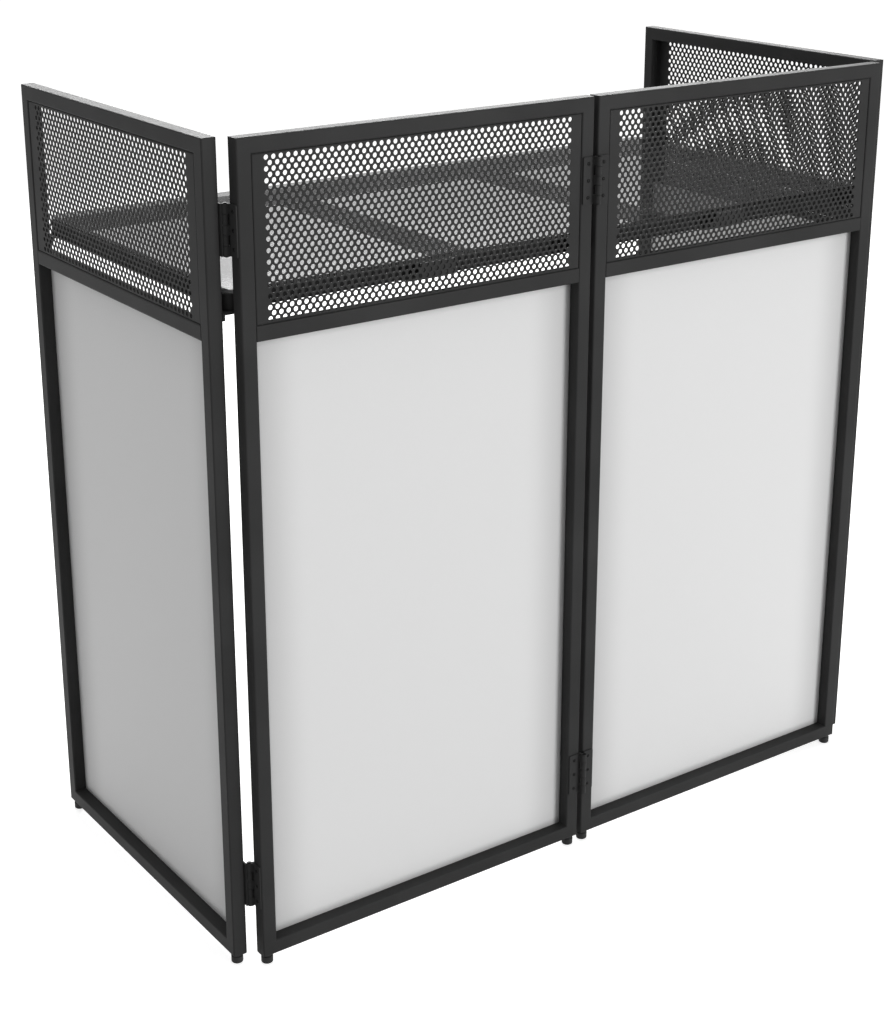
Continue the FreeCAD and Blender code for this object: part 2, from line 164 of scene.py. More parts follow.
studio_floor()
print("floor", FLOOR_SIZE, "m wide")

# %% Lamps


def softbox(name, place, target, size, power):
    data = bpy.data.lights.new(name, "AREA")
    data.shape = "RECTANGLE"
    data.size, data.size_y = size
    data.energy = power
    lamp = shown(name, data)
    lamp.location = place
    lamp.rotation_euler = (Vector(target) - Vector(place)).to_track_quat("-Z", "Y").to_euler()


softbox("front_softbox", place=(6.4, -11.2, 1.3), target=(0, -0.3, 0.7), size=(4.0, 2.4), power=780)
softbox("overhead_softbox", place=(0, 0.2, 3.6), target=(0, 0, 0), size=(3.0, 2.4), power=30)
softbox("back_softbox", place=(1.8, 3.2, 2.75), target=(0, 0, 1.0), size=(3.5, 1.2), power=170)
bpy.context.scene.view_settings.view_transform = "Standard"
print("view", bpy.context.scene.view_settings.view_transform)

# %% [markdown]
# Every frame is powder coated: a dry black paint that is baked on and leaves a fine, even grain like
# orange peel. The grain is too small to model, so it is a bump from noise about a millimetre across,
# and a second, wider noise makes the sheen a little uneven, as real coating is.

# %% Finishes: helpers for grained surfaces
NOISE_SPAN = (0.3, 0.7)
COLOUR_CELLS = 9.0
SHEEN_CELLS = 14.0
SHEEN_DETAIL = 4.0
GRAIN_STRENGTH = 0.35


def blank(name):
    material = bpy.data.materials.new(name)
    material.use_nodes = True
    return material, material.node_tree, material.node_tree.nodes["Principled BSDF"]


def noise(tree, cells_per_metre, detail=2.0):
    """Noise on object coordinates, so that its grain has a real size."""
    place = tree.nodes.new("ShaderNodeTexCoord")
    texture = tree.nodes.new("ShaderNodeTexNoise")
    texture.inputs["Scale"].default_value = cells_per_metre
    texture.inputs["Detail"].default_value = detail
    tree.links.new(place.outputs["Object"], texture.inputs["Vector"])
    return texture.outputs["Fac"]


def spread(tree, source, low, high):
    """Stretches the part of a noise that it mostly keeps to over a range."""
    ramp = tree.nodes.new("ShaderNodeMapRange")
    ramp.inputs["From Min"].default_value, ramp.inputs["From Max"].default_value = NOISE_SPAN
    ramp.inputs["To Min"].default_value = low
    ramp.inputs["To Max"].default_value = high
    tree.links.new(source, ramp.inputs["Value"])
    return ramp.outputs["Result"]


def tint(tree, source, dark, light, span=NOISE_SPAN):
    """Turns a value into a colour between two greys."""
    ramp = tree.nodes.new("ShaderNodeValToRGB")
    for stop, position, grey in zip(ramp.color_ramp.elements, span, (dark, light)):
        stop.position = position
        stop.color = (*grey, 1)
    tree.links.new(source, ramp.inputs["Fac"])
    return ramp.outputs["Color"]


def bump(tree, shader, source, strength, depth):
    node = tree.nodes.new("ShaderNodeBump")
    node.inputs["Strength"].default_value = strength
    node.inputs["Distance"].default_value = depth
    tree.links.new(source, node.inputs["Height"])
    tree.links.new(node.outputs["Normal"], shader.inputs["Normal"])


def grained(name, greys, rough, grain, depth, specular):
    """A surface with a fine grain in its relief and a wide, slow variation in its colour and sheen."""
    material, tree, shader = blank(name)
    shader.inputs["Specular IOR Level"].default_value = specular
    dark, light = ((grey,) * 3 for grey in greys)
    tree.links.new(tint(tree, noise(tree, COLOUR_CELLS), dark, light), shader.inputs["Base Color"])
    sheen = spread(tree, noise(tree, SHEEN_CELLS, SHEEN_DETAIL), *rough)
    tree.links.new(sheen, shader.inputs["Roughness"])
    bump(tree, shader, noise(tree, grain), GRAIN_STRENGTH, depth)
    return material


print("grain strength", GRAIN_STRENGTH)

# %% Finishes: paint, screws, rubber and mouldings
painted_steel = grained(
    "powder_coat", greys=(0.032, 0.040), rough=(0.38, 0.46), grain=900.0, depth=0.05 * MM, specular=0.04
)
screw_steel = grained(
    "screw_steel", greys=(0.006, 0.010), rough=(0.30, 0.40), grain=1500.0, depth=0.01 * MM, specular=0.1
)
rubber = grained(
    "foot_rubber", greys=(0.012, 0.020), rough=(0.62, 0.75), grain=700.0, depth=0.04 * MM, specular=0.3
)
moulding = grained(
    "corner_moulding", greys=(0.022, 0.030), rough=(0.42, 0.50), grain=1600.0, depth=0.03 * MM, specular=0.05
)
print("grained finishes", [finish.name for finish in (painted_steel, screw_steel, rubber, moulding)])

# %% [markdown]
# The table's plate is smoked sheet: from above, the frame's bars and the floor show through it, and
# at a low angle it mirrors the room a little. It lets light straight through, so alpha does the work
# and the gloss comes from the shader itself. Faint smears keep the polish from looking perfect.

# %% Finish: smoked plate
PLATE_ALPHA = 0.52
SMOKE_CELLS = 6.0
SMEAR_CELLS = 11.0
SMEAR_DETAIL = 5.0


def smoked_plate():
    material, tree, shader = blank("smoked_plate")
    smoke = tint(tree, noise(tree, SMOKE_CELLS), (0.020, 0.020, 0.022), (0.028,) * 3)
    tree.links.new(smoke, shader.inputs["Base Color"])
    smears = spread(tree, noise(tree, SMEAR_CELLS, SMEAR_DETAIL), low=0.08, high=0.16)
    tree.links.new(smears, shader.inputs["Roughness"])
    shader.inputs["Alpha"].default_value = PLATE_ALPHA
    shader.inputs["Specular IOR Level"].default_value = 0.03
    shader.inputs["IOR"].default_value = 1.49
    return material


plate_finish = smoked_plate()
print("plate alpha", PLATE_ALPHA)

# %% [markdown]
# The cloth is a white stretch knit. Close up it shows fine ribs one way and rows of stitches the other,
# a little over half a millimetre apart, which two crossed waves give. The piece carries its own flat
# map in metres, so the ribs run true on every panel, whichever way the panel faces. Along its two sides
# the white is painted a little greyer, as painted shade next to the frame's uprights, so each point
# also carries its distance from the nearer side.

# %% Finish: stretch knit
RIB_PITCH = 0.7 * MM
ROW_PITCH = 0.55 * MM
# Painted shade: within this width of its two sides the knit is painted greyer, as the shade next to the
# frame's uprights.
SIDE_SHADE_WIDTH = 80 * MM
SIDE_SHADE_GREY = (0.67,) * 3
MIDDLE_GREY = (0.83,) * 3
KNIT_SHADE = 0.10
WAVE_NODE_RADIANS = 20


def stripes(tree, uv, axis, pitch):
    """A wave along one direction of the cloth's own map.

    At scale 1 the wave node turns through WAVE_NODE_RADIANS over one unit.
    """
    wave = tree.nodes.new("ShaderNodeTexWave")
    wave.wave_type = "BANDS"
    wave.bands_direction = axis
    wave.inputs["Scale"].default_value = 2 * math.pi / pitch / WAVE_NODE_RADIANS
    wave.inputs["Distortion"].default_value = 0.6
    wave.inputs["Detail"].default_value = 1.0
    tree.links.new(uv, wave.inputs["Vector"])
    return wave.outputs["Fac"]


def stretch_knit():
    material, tree, shader = blank("stretch_knit")
    place = tree.nodes.new("ShaderNodeTexCoord")
    uv = place.outputs["UV"]
    knit = tree.nodes.new("ShaderNodeMath")
    knit.operation = "MULTIPLY"
    tree.links.new(stripes(tree, uv, "X", RIB_PITCH), knit.inputs[0])
    tree.links.new(stripes(tree, uv, "Y", ROW_PITCH), knit.inputs[1])
    # Painted shade: the white is painted greyer towards the cloth's two sides, next to the frame's uprights,
    # by each point's distance from the nearer side.
    side = tree.nodes.new("ShaderNodeAttribute")
    side.attribute_name = "side_shade_distance"
    inwards = tree.nodes.new("ShaderNodeMapRange")
    inwards.interpolation_type = "SMOOTHERSTEP"
    inwards.inputs["From Max"].default_value = SIDE_SHADE_WIDTH
    tree.links.new(side.outputs["Fac"], inwards.inputs["Value"])
    painted_side_shade = tint(tree, inwards.outputs["Result"], SIDE_SHADE_GREY, MIDDLE_GREY, span=(0, 1))
    shade = tree.nodes.new("ShaderNodeMix")
    shade.data_type = "RGBA"
    shade.blend_type = "MULTIPLY"
    shade.inputs["Factor"].default_value = KNIT_SHADE
    tree.links.new(painted_side_shade, shade.inputs["A"])
    tree.links.new(knit.outputs[0], shade.inputs["B"])
    tree.links.new(shade.outputs["Result"], shader.inputs["Base Color"])
    shader.inputs["Roughness"].default_value = 0.85
    shader.inputs["Specular IOR Level"].default_value = 0.2
    shader.inputs["Sheen Weight"].default_value = 0.15
    shader.inputs["Sheen Roughness"].default_value = 0.5
    bump(tree, shader, knit.outputs[0], strength=0.25, depth=0.08 * MM)
    return material


cloth_finish = stretch_knit()
print("knit pitch", RIB_PITCH, ROW_PITCH)

# %% [markdown]
# The tubes, ledges, brackets and table pieces are already right as solids, so they only take a finish.
# The same loop dresses the solids that finer pieces stand for later.

# %% Dress the solids
SLOT_FINISH = {
    "frame": painted_steel,
    "grille": painted_steel,
    "hinge_black": painted_steel,
    "hinge_steel": screw_steel,
    "cloth": cloth_finish,
    "rubber": rubber,
    "moulding": moulding,
    "table_plate": plate_finish,
}
for subpart in frame["record"]["subparts"]:
    solid = nodes[subpart["node"]]
    solid.data.materials.clear()
    solid.data.materials.append(SLOT_FINISH[subpart["material_slot"]])

# %% [markdown]
# Grilles, cloths and hinges are drawn flat and then stood up. A panel's own axes are: right and up as
# seen from outside, and outwards. One matrix per panel carries that flat drawing to its place.

# %% Where each panel stands
UP = Vector((0, 0, 1))
SMOOTH_ANGLE = math.radians(35)
OUTWARDS = {
    "front_left": Vector((0, -1, 0)),
    "front_right": Vector((0, -1, 0)),
    "left_wing": Vector((-1, 0, 0)),
    "right_wing": Vector((1, 0, 0)),
}


def face_of(panel, node):
    """Matrix from a flat drawing to a node's outer face, with the node's width, height and depth."""
    low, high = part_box(node)
    out = OUTWARDS[panel]
    right = UP.cross(out)
    size = high - low
    width, depth = abs(size.dot(right)), abs(size.dot(out))
    middle = (low + high) / 2 + out * depth / 2
    turn = Matrix((right, UP, out)).transposed().to_4x4()
    return Matrix.Translation(middle) @ turn, width, size.z, depth


def piece(name, mesh, body, replaced):
    """Shows a mesh as a piece that rides on a body in place of some solids."""
    made = shown(name, mesh)
    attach(made, body)
    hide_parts(*replaced)
    return made


def smooth(mesh):
    """Shades a mesh smooth, but leaves its hard corners crisp."""
    mesh.shade_smooth()
    mesh.set_sharp_from_angle(angle=SMOOTH_ANGLE)


def plain_mesh(holder, name):
    """The evaluated result of an object as a plain mesh; the object is removed."""
    graph = bpy.context.evaluated_depsgraph_get()
    mesh = bpy.data.meshes.new_from_object(holder.evaluated_get(graph))
    mesh.name = name
    bpy.data.objects.remove(holder)
    return mesh


def as_mesh(shape, name):
    """A mesh of a finished shape, which is freed."""
    mesh = bpy.data.meshes.new(name)
    shape.to_mesh(mesh)
    shape.free()
    return mesh


for panel in PANELS:
    print(panel, [round(v, 4) for v in face_of(panel, panel + "_grille")[1:]])

# %% [markdown]
# A grille is sheet steel punched with round holes in staggered rows, then folded into a shallow pan.
# Real holes let you look through at the table, which a painted pattern could not do. Geometry Nodes
# draw them: a grid of points, every second row moved half a pitch, a circle on each point, and all the
# circles filled together with the sheet's outline. An extrusion gives the sheet its thickness.

# %% Sizes of the perforated sheet, and helpers for node trees
HOLE_RADIUS = 3.15 * MM
HOLE_PITCH = 10.0 * MM
ROW_STEP = 6.9 * MM
HOLE_SIDES = 14
SHEET = 1.2 * MM
BEND = 2.0 * MM
SIDE_MARGIN = 16.0 * MM
WELD = 0.01 * MM


def new_tree(name, inputs):
    """An empty geometry tree with named inputs, given as (name, socket type)."""
    tree = bpy.data.node_groups.new(name, "GeometryNodeTree")
    for label, kind in inputs:
        tree.interface.new_socket(label, in_out="INPUT", socket_type=kind)
    tree.interface.new_socket("Geometry", in_out="OUTPUT", socket_type="NodeSocketGeometry")
    return tree, tree.nodes.new("NodeGroupInput"), tree.nodes.new("NodeGroupOutput")


def math_node(tree, operation, first, second):
    """A maths node whose two inputs are sockets or numbers."""
    node = tree.nodes.new("ShaderNodeMath")
    node.operation = operation
    for socket, value in zip(node.inputs, (first, second)):
        if isinstance(value, (int, float)):
            socket.default_value = value
        else:
            tree.links.new(value, socket)
    return node.outputs[0]


print("hole", 2 * HOLE_RADIUS / MM, "mm wide, pitch", HOLE_PITCH / MM, "mm")

# %% Where the holes go


def staggered_points(tree, given):
    """Points of the hole centres: a grid whose odd rows move half a pitch and lose their last point."""
    link = tree.links.new
    last_column = math_node(tree, "SUBTRACT", given["Columns"], 1)
    last_row = math_node(tree, "SUBTRACT", given["Rows"], 1)
    span = math_node(tree, "MULTIPLY", last_column, given["Pitch"])
    rise = math_node(tree, "MULTIPLY", last_row, given["Row Step"])
    grid = tree.nodes.new("GeometryNodeMeshGrid")
    link(span, grid.inputs["Size X"])
    link(rise, grid.inputs["Size Y"])
    link(given["Columns"], grid.inputs["Vertices X"])
    link(given["Rows"], grid.inputs["Vertices Y"])

    place = tree.nodes.new("GeometryNodeInputPosition")
    apart = tree.nodes.new("ShaderNodeSeparateXYZ")
    link(place.outputs[0], apart.inputs[0])
    from_base = math_node(tree, "ADD", apart.outputs["Y"], math_node(tree, "MULTIPLY", rise, 0.5))
    row = math_node(tree, "ROUND", math_node(tree, "DIVIDE", from_base, given["Row Step"]), 0)
    odd = math_node(tree, "MODULO", row, 2)
    shift = math_node(tree, "MULTIPLY", math_node(tree, "MULTIPLY", odd, given["Pitch"]), 0.5)
    offset = tree.nodes.new("ShaderNodeCombineXYZ")
    link(shift, offset.inputs["X"])
    moved = tree.nodes.new("GeometryNodeSetPosition")
    link(grid.outputs["Mesh"], moved.inputs["Geometry"])
    link(offset.outputs[0], moved.inputs["Offset"])

    after = tree.nodes.new("GeometryNodeInputPosition")
    after_apart = tree.nodes.new("ShaderNodeSeparateXYZ")
    link(after.outputs[0], after_apart.inputs[0])
    half_pitch = math_node(tree, "MULTIPLY", given["Pitch"], 0.5)
    edge = math_node(tree, "MULTIPLY", math_node(tree, "ADD", span, half_pitch), 0.5)
    past = math_node(tree, "GREATER_THAN", after_apart.outputs["X"], edge)
    trimmed = tree.nodes.new("GeometryNodeDeleteGeometry")
    link(moved.outputs["Geometry"], trimmed.inputs["Geometry"])
    link(past, trimmed.inputs["Selection"])
    return trimmed.outputs["Geometry"]


print("row step", ROW_STEP / MM, "mm")

# %% The sheet and its holes


def perforated_sheet_tree():
    inputs = [
        ("Columns", "NodeSocketInt"),
        ("Rows", "NodeSocketInt"),
        ("Pitch", "NodeSocketFloat"),
        ("Row Step", "NodeSocketFloat"),
        ("Hole Radius", "NodeSocketFloat"),
        ("Hole Sides", "NodeSocketInt"),
        ("Width", "NodeSocketFloat"),
        ("Height", "NodeSocketFloat"),
        ("Thickness", "NodeSocketFloat"),
        ("Finish", "NodeSocketMaterial"),
    ]
    tree, group_in, group_out = new_tree("perforated_sheet", inputs)
    link = tree.links.new
    given = group_in.outputs
    circle = tree.nodes.new("GeometryNodeCurvePrimitiveCircle")
    link(given["Hole Sides"], circle.inputs["Resolution"])
    link(given["Hole Radius"], circle.inputs["Radius"])
    holes = tree.nodes.new("GeometryNodeInstanceOnPoints")
    link(staggered_points(tree, given), holes.inputs["Points"])
    link(circle.outputs["Curve"], holes.inputs["Instance"])
    outline = tree.nodes.new("GeometryNodeCurvePrimitiveQuadrilateral")
    link(given["Width"], outline.inputs["Width"])
    link(given["Height"], outline.inputs["Height"])
    curves = tree.nodes.new("GeometryNodeJoinGeometry")
    real_holes = tree.nodes.new("GeometryNodeRealizeInstances")
    link(holes.outputs["Instances"], real_holes.inputs["Geometry"])
    link(outline.outputs["Curve"], curves.inputs["Geometry"])
    link(real_holes.outputs["Geometry"], curves.inputs["Geometry"])
    fill = tree.nodes.new("GeometryNodeFillCurve")
    link(curves.outputs["Geometry"], fill.inputs["Curve"])

    thick = tree.nodes.new("GeometryNodeExtrudeMesh")
    thick.inputs["Individual"].default_value = False
    back = tree.nodes.new("ShaderNodeCombineXYZ")
    link(math_node(tree, "MULTIPLY", given["Thickness"], -1), back.inputs["Z"])
    link(fill.outputs["Mesh"], thick.inputs["Mesh"])
    link(back.outputs[0], thick.inputs["Offset"])
    whole = tree.nodes.new("GeometryNodeJoinGeometry")
    link(fill.outputs["Mesh"], whole.inputs["Geometry"])
    link(thick.outputs["Mesh"], whole.inputs["Geometry"])
    welded = tree.nodes.new("GeometryNodeMergeByDistance")
    welded.inputs["Distance"].default_value = WELD
    link(whole.outputs["Geometry"], welded.inputs["Geometry"])
    real = tree.nodes.new("GeometryNodeRealizeInstances")
    link(welded.outputs["Geometry"], real.inputs["Geometry"])
    coated = tree.nodes.new("GeometryNodeSetMaterial")
    link(real.outputs["Geometry"], coated.inputs["Geometry"])
    link(given["Finish"], coated.inputs["Material"])
    link(coated.outputs["Geometry"], group_out.inputs["Geometry"])
    return tree


def run_tree(tree, name, mesh, values):
    """Runs a tree on a mesh with the named inputs and gives back a plain mesh."""
    holder = shown(name, mesh)
    modifier = holder.modifiers.new(name, "NODES")
    modifier.node_group = tree
    sockets = {s.name: s.identifier for s in tree.interface.items_tree if s.in_out == "INPUT"}
    for label, value in values.items():
        modifier[sockets[label]] = value
    return plain_mesh(holder, name)


perforated_sheet = perforated_sheet_tree()
print("tree", perforated_sheet.name, "nodes", len(perforated_sheet.nodes))

# %% [markdown]
# The pan's folded rim is a row of rectangles, each a little wider and a little deeper than the last:
# a quarter round for the bend, a straight flange, and the same again inside. Joined to the sheet, it
# leaves the dark groove that runs round each grille.

# %% Fold the rims and stand the grilles in their frames
BEND_STEPS = 4
RIM_WELD = 0.02 * MM
CORNERS = ((-1, -1), (1, -1), (1, 1), (-1, 1))


def rim_sections(depth):
    """Inset and depth of each rectangle of the rim, from the outer face round to the inner one."""
    turns = [math.pi / 2 * step / BEND_STEPS for step in range(BEND_STEPS + 1)]
    inner = BEND - SHEET
    outside = [(BEND - BEND * math.sin(t), BEND * math.cos(t) - BEND) for t in turns]
    inside = [(BEND - inner * math.sin(t), inner * math.cos(t) - BEND) for t in reversed(turns)]
    return outside + [(0, -depth), (SHEET, -depth)] + inside


def add_rim(mesh, width, height, depth):
    shape = bmesh.new()
    shape.from_mesh(mesh)
    rings = []
    for inset, drop in rim_sections(depth):
        x, y = width / 2 - inset, height / 2 - inset
        rings.append([shape.verts.new((sx * x, sy * y, drop)) for sx, sy in CORNERS])
    for ring, after in zip(rings, rings[1:]):
        for corner in range(len(CORNERS)):
            following = (corner + 1) % len(CORNERS)
            shape.faces.new((ring[following], ring[corner], after[corner], after[following]))
    bmesh.ops.remove_doubles(shape, verts=shape.verts, dist=RIM_WELD)
    bmesh.ops.recalc_face_normals(shape, faces=shape.faces)
    shape.to_mesh(mesh)
    shape.free()


for panel in PANELS:
    node = panel + "_grille"
    stand, width, height, depth = face_of(panel, node)
    flat_width, flat_height = width - 2 * BEND, height - 2 * BEND
    columns = int((width - 2 * SIDE_MARGIN - 2 * HOLE_RADIUS) / HOLE_PITCH) + 1
    rows = int((flat_height - 2 * HOLE_RADIUS) / ROW_STEP) + 1
    values = {
        "Columns": columns,
        "Rows": rows,
        "Pitch": HOLE_PITCH,
        "Row Step": ROW_STEP,
        "Hole Radius": HOLE_RADIUS,
        "Hole Sides": HOLE_SIDES,
        "Width": flat_width,
        "Height": flat_height,
        "Thickness": SHEET,
        "Finish": painted_steel,
    }
    name = panel + "_perforated"
    sheet = run_tree(perforated_sheet, name, bpy.data.meshes.new(name), values)
    add_rim(sheet, width, height, depth)
    sheet.materials.clear()
    sheet.materials.append(painted_steel)
    sheet.transform(stand)
    smooth(sheet)
    piece(name, sheet, panel, [node])
    print(panel, "holes", columns * rows - rows // 2, "faces", len(sheet.polygons))

# %% [markdown]
# The cloths are stretched in the lower windows. A cloth under tension is nearly flat, but never quite:
# it bows very slightly and shows faint waves that run in from its corners. Each is a fine grid moved by
# less than a millimetre and given the knit's thickness, with its flat map in metres.

# %% Stretch the cloths
CLOTH_THICK = 0.5 * MM
CLOTH_STEP = 12 * MM
BOW = 0.15 * MM
WAVE = 0.10 * MM
WAVE_LENGTH = 170 * MM


def slack(x, y, width, height):
    """How far the cloth leaves its flat plane, zero along its held edges."""
    across, along = 2 * x / width, 2 * y / height
    hold = (1 - across**2) * (1 - along**2)
    pull = math.sin(2 * math.pi * (abs(x) - abs(y)) / WAVE_LENGTH) * abs(across * along)
    return hold * BOW + hold * pull * WAVE


def cloth_mesh(name, width, height, middle):
    columns, rows = round(width / CLOTH_STEP), round(height / CLOTH_STEP)
    shape = bmesh.new()
    uv = shape.loops.layers.uv.new("flat")
    side_shade_distance = shape.verts.layers.float.new("side_shade_distance")
    grid = []
    for row in range(rows + 1):
        y = height * (row / rows - 0.5)
        xs = [width * (column / columns - 0.5) for column in range(columns + 1)]
        grid.append([shape.verts.new((x, y, middle + slack(x, y, width, height))) for x in xs])
    for low, high in zip(grid, grid[1:]):
        for left in range(columns):
            face = shape.faces.new((low[left], low[left + 1], high[left + 1], high[left]))
            for loop in face.loops:
                loop[uv].uv = loop.vert.co.xy
    for vert in shape.verts:
        # Each point's distance from the nearer side, which the knit uses for its painted shade along the
        # sides.
        vert[side_shade_distance] = width / 2 - abs(vert.co.x)
    return as_mesh(shape, name)


def thicken(mesh, name, thickness):
    holder = shown(name, mesh)
    modifier = holder.modifiers.new("thickness", "SOLIDIFY")
    modifier.thickness = thickness
    modifier.offset = 0
    return plain_mesh(holder, name)


for panel in PANELS:
    node = panel + "_scrim"
    stand, width, height, depth = face_of(panel, node)
    name = panel + "_cloth"
    mesh = thicken(cloth_mesh(name, width, height, -depth / 2), name, CLOTH_THICK)
    mesh.materials.append(cloth_finish)
    mesh.transform(stand)
    mesh.shade_smooth()
    cloth = piece(name, mesh, panel, [node])
    print(panel, "cloth", round(width, 4), "by", round(height, 4))

# %% [markdown]
# A butt hinge is two leaves rolled round one pin. The rolled knuckles alternate between the leaves.
# A knuckle is the same outline whichever hinge it is on: round the pin, then a straight web down to
# the leaf. Drawing that outline once and pushing it up gives smooth barrels with fine gaps between.

# %% Knuckles and the flat of a leaf
LEAF_LENGTH = 63 * MM
LEAF_THICK = 2 * MM
LEAF_CORNER = 2 * MM
KNUCKLES = 5
KNUCKLE_GAP = 0.4 * MM
BARREL_STEPS = 40
ROLLED_TURN = 1.5 * math.pi
CORNER_STEPS = 6
PIN_HEAD = 1.2 * MM
EDGE = 0.25 * MM
SHARP_ANGLE = math.radians(40)


def knuckle_outline(radius, stand, start):
    """Round the pin from the leaf's inner side to its back, then to a leaf that may start further out."""
    inner = stand - LEAF_THICK
    arc = []
    for step in range(BARREL_STEPS + 1):
        turn = -ROLLED_TURN * step / BARREL_STEPS
        arc.append((radius * math.cos(turn), radius * math.sin(turn)))
    if start < radius:
        return [(radius, inner), *arc, (0, inner)]
    return [(start, inner), (radius, inner), *arc, (0, stand), (start, stand)]


def prism(shape, base_points, top_points):
    """A closed solid between two like outlines."""
    base = [shape.verts.new(point) for point in base_points]
    top = [shape.verts.new(point) for point in top_points]
    shape.faces.new(base)
    shape.faces.new(top)
    for here in range(len(base)):
        following = (here + 1) % len(base)
        shape.faces.new((base[here], base[following], top[following], top[here]))


def leaf_plate(shape, stand, start, width):
    """The flat of a leaf, with its two far corners cut off round."""
    half = LEAF_LENGTH / 2
    end = start + width
    outline = [(start, -half), (start, half)]
    for centre_z, first in ((half - LEAF_CORNER, 90), (LEAF_CORNER - half, 0)):
        for step in range(CORNER_STEPS + 1):
            turn = math.radians(first - 90 * step / CORNER_STEPS)
            x = end - LEAF_CORNER + LEAF_CORNER * math.cos(turn)
            outline.append((x, centre_z + LEAF_CORNER * math.sin(turn)))
    prism(shape, [(x, stand - LEAF_THICK, z) for x, z in outline], [(x, stand, z) for x, z in outline])


print("knuckles", KNUCKLES, "leaf", LEAF_LENGTH / MM, "mm")

# %% One leaf at each pin


def leaf_mesh(name, radius, stand, start, width, first, turn, flip, places):
    """One leaf at each place, with every second knuckle, turned about its pin."""
    shape = bmesh.new()
    leaf_plate(shape, stand, start, width)
    step = (LEAF_LENGTH + KNUCKLE_GAP) / KNUCKLES
    outline = knuckle_outline(radius, stand, start)
    for index in range(first, KNUCKLES, 2):
        low = index * step - LEAF_LENGTH / 2
        high = low + step - KNUCKLE_GAP
        prism(shape, [(x, y, low) for x, y in outline], [(x, y, high) for x, y in outline])
    if flip:
        bmesh.ops.scale(shape, vec=(-1, 1, 1), verts=shape.verts)
    bmesh.ops.recalc_face_normals(shape, faces=shape.faces)
    sharp = [e for e in shape.edges if len(e.link_faces) == 2 and e.calc_face_angle() > SHARP_ANGLE]
    bmesh.ops.bevel(shape, geom=sharp, offset=EDGE, segments=2, affect="EDGES", clamp_overlap=True)
    return copies(shape, name, [Matrix.Translation(p) @ Matrix.Rotation(turn, 4, "Z") for p in places])


def copies(shape, name, stands):
    """A mesh with one copy of a shape for each matrix. The shape is freed."""
    one = as_mesh(shape, name + "_one")
    whole = bmesh.new()
    for stand in stands:
        before = len(whole.verts)
        whole.from_mesh(one)
        whole.verts.ensure_lookup_table()
        bmesh.ops.transform(whole, matrix=stand, verts=whole.verts[before:])
    bpy.data.meshes.remove(one)
    return as_mesh(whole, name)


def pin_places(node):
    """Middles of the lower and the upper pin of a hinge line."""
    low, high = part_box(node)
    half = LEAF_LENGTH / 2 + PIN_HEAD
    middle = (low + high) / 2
    return [Vector((middle.x, middle.y, low.z + half)), Vector((middle.x, middle.y, high.z - half))]


print("fold pins", [[round(v, 4) for v in place] for place in pin_places("fold_hinge_pins")])

# %% Set the leaves at their pins
FOLD = {"radius": 4.0 * MM, "stand": 7.0 * MM, "start": 4.4 * MM, "width": 17.0 * MM}
CORNER = {"radius": 3.8 * MM, "stand": 6.0 * MM, "start": 0.0, "width": 18.4 * MM}
QUARTER = math.pi / 2
# Node, body, pins, sizes, first knuckle, turn about the pin, and whether the leaf is mirrored.
LEAVES = [
    ("fold_hinge_left_leaves", "front_left", "fold_hinge_pins", FOLD, 0, 0.0, True),
    ("fold_hinge_right_leaves", "front_right", "fold_hinge_pins", FOLD, 1, 0.0, False),
    ("left_hinge_front_leaves", "front_left", "left_hinge_pins", CORNER, 0, -QUARTER, False),
    ("left_hinge_wing_leaves", "left_wing", "left_hinge_pins", CORNER, 1, QUARTER, False),
    ("right_hinge_front_leaves", "front_right", "right_hinge_pins", CORNER, 0, QUARTER, True),
    ("right_hinge_wing_leaves", "right_wing", "right_hinge_pins", CORNER, 1, -QUARTER, True),
]
for node, body, pins, sizes, first, turn, flip in LEAVES:
    mesh = leaf_mesh(node, first=first, turn=turn, flip=flip, places=pin_places(pins), **sizes)
    mesh.materials.append(painted_steel)
    smooth(mesh)
    piece(node + "_rolled", mesh, body, [node])
    print(node, "faces", len(mesh.polygons))

# %% [markdown]
# Screws, pins and feet repeat all over the booth, so one node tree sets them out: it takes a piece and
# a set of points, turns a copy of the piece along each point's direction and makes the copies real. The
# points come from the solid screws, pins and feet that the finer ones stand for.

# %% A tree that sets out copies


def set_out_tree():
    inputs = [
        ("Geometry", "NodeSocketGeometry"),
        ("Piece", "NodeSocketObject"),
        ("Finish", "NodeSocketMaterial"),
    ]
    tree, group_in, group_out = new_tree("set_out_copies", inputs)
    link = tree.links.new
    source = tree.nodes.new("GeometryNodeObjectInfo")
    link(group_in.outputs["Piece"], source.inputs["Object"])
    heading = tree.nodes.new("GeometryNodeInputNamedAttribute")
    heading.data_type = "FLOAT_VECTOR"
    heading.inputs["Name"].default_value = "heading"
    turn = tree.nodes.new("FunctionNodeAlignRotationToVector")
    turn.axis = "Z"
    link(heading.outputs["Attribute"], turn.inputs["Vector"])
    placed = tree.nodes.new("GeometryNodeInstanceOnPoints")
    link(group_in.outputs["Geometry"], placed.inputs["Points"])
    link(source.outputs["Geometry"], placed.inputs["Instance"])
    link(turn.outputs["Rotation"], placed.inputs["Rotation"])
    real = tree.nodes.new("GeometryNodeRealizeInstances")
    link(placed.outputs["Instances"], real.inputs["Geometry"])
    coated = tree.nodes.new("GeometryNodeSetMaterial")
    link(real.outputs["Geometry"], coated.inputs["Geometry"])
    link(group_in.outputs["Finish"], coated.inputs["Material"])
    link(coated.outputs["Geometry"], group_out.inputs["Geometry"])
    return tree


set_out_copies = set_out_tree()
print("tree", set_out_copies.name, "nodes", len(set_out_copies.nodes))

# %% Find the solids and set out the copies


